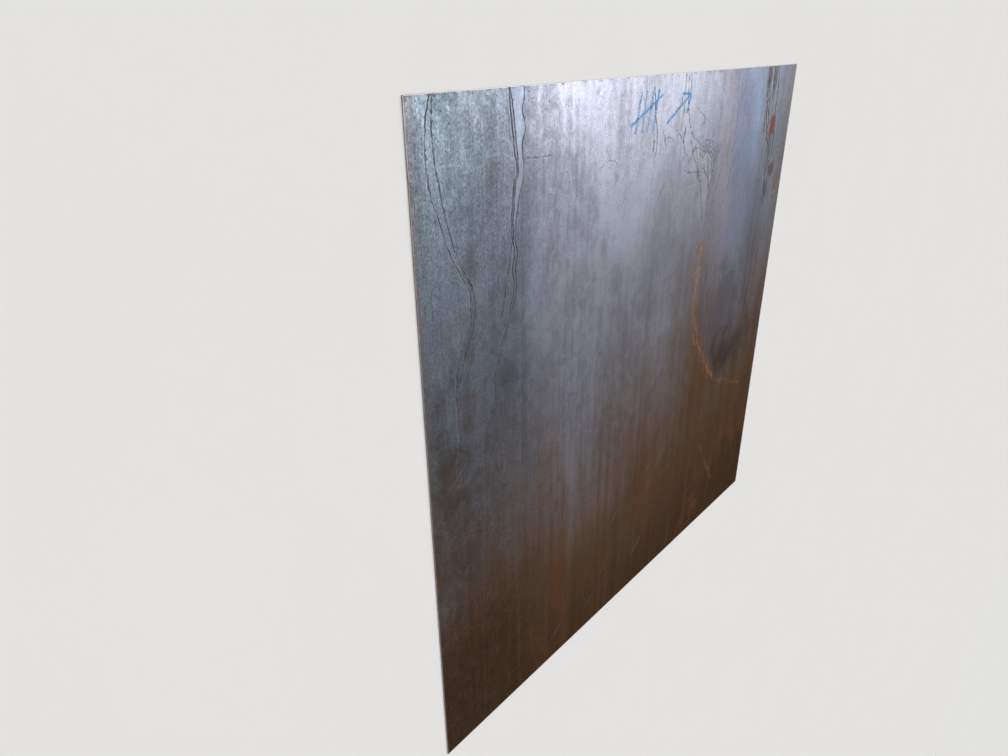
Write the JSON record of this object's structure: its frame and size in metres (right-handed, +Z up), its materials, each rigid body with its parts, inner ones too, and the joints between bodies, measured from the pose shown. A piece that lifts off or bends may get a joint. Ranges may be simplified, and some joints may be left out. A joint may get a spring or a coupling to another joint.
{
  "type": "steel plate",
  "caption": "Flat, nearly square hot-rolled steel plate with blue-grey mill scale and sheared edges, cut from wide mill sheet and stored lying flat.",
  "frame": {"origin": "on the floor, below the middle of the plate", "axes": "+Z up out of the marked face, +Y along the rolling direction towards the end that carries the chalk mark, +X across the mill's rolling width"},
  "size_m": [1.5, 1.43, 0.003],
  "materials": {
    "mill_scale": "hot-rolled mill scale, satin, blue-grey with brown dust and thin rust",
    "layout_chalk": "dry blue marking chalk"
  },
  "bodies": {
    "root": {"steel_plate": "mill_scale"}
  },
  "joints": []
}
